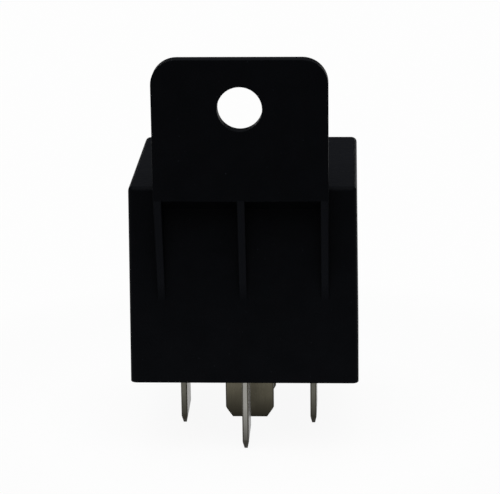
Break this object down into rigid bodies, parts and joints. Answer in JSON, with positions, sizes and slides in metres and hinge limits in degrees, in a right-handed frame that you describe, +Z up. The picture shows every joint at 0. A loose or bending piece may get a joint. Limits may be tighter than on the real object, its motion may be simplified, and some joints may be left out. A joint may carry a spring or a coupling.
{
  "type": "automotive relay",
  "caption": "Plug-in vehicle changeover relay: black moulded cover with a ribbed screw tab, blade terminals below and a hinged-armature mechanism inside.",
  "frame": {"origin": "middle of the centre blade (87a) on the seating plane, which is the cover's rim", "axes": "+Z up out of the socket, the screw tab on the -Y side, +X to the right seen from the tab"},
  "size_m": [0.0286, 0.0291, 0.0513],
  "materials": {
    "cover_plastic": "fine satin moulding",
    "base_plastic": "satin",
    "blade_metal": "dull tin-nickel plate",
    "magnet_iron": "zinc plated",
    "bobbin_plastic": "natural nylon",
    "enamel_wire": "enamelled copper",
    "coil_tape": "polyester film",
    "spring_copper": "rolled copper alloy",
    "contact_silver": "silver",
    "rivet_steel": "plated"
  },
  "bodies": {
    "housing": {"cover": "cover_plastic", "base": "base_plastic", "terminal_30": "blade_metal", "terminal_85": "blade_metal", "terminal_86": "blade_metal", "terminal_87": "blade_metal", "terminal_87a": "blade_metal", "yoke": "magnet_iron", "core": "magnet_iron", "bobbin": "bobbin_plastic", "coil_winding": "enamel_wire", "coil_lead_85": "enamel_wire", "coil_lead_86": "enamel_wire", "coil_tape": "coil_tape", "no_contact": "contact_silver", "nc_contact": "contact_silver", "yoke_rivets": "rivet_steel", "terminal_rivet": "rivet_steel"},
    "armature": {"armature": "magnet_iron", "contact_spring": "spring_copper", "moving_contact": "contact_silver", "armature_rivets": "rivet_steel"}
  },
  "joints": [
    {"name": "armature_swing", "type": "hinge", "parent": "housing", "child": "armature", "pos_m": [0, -0.0105, 0.0184], "axis": [-1, 0, 0], "range_deg": [0, 3.4], "stiffness_Nm_per_rad": 0.05, "springref_deg": -11.46, "deforming": ["contact_spring"]}
  ]
}
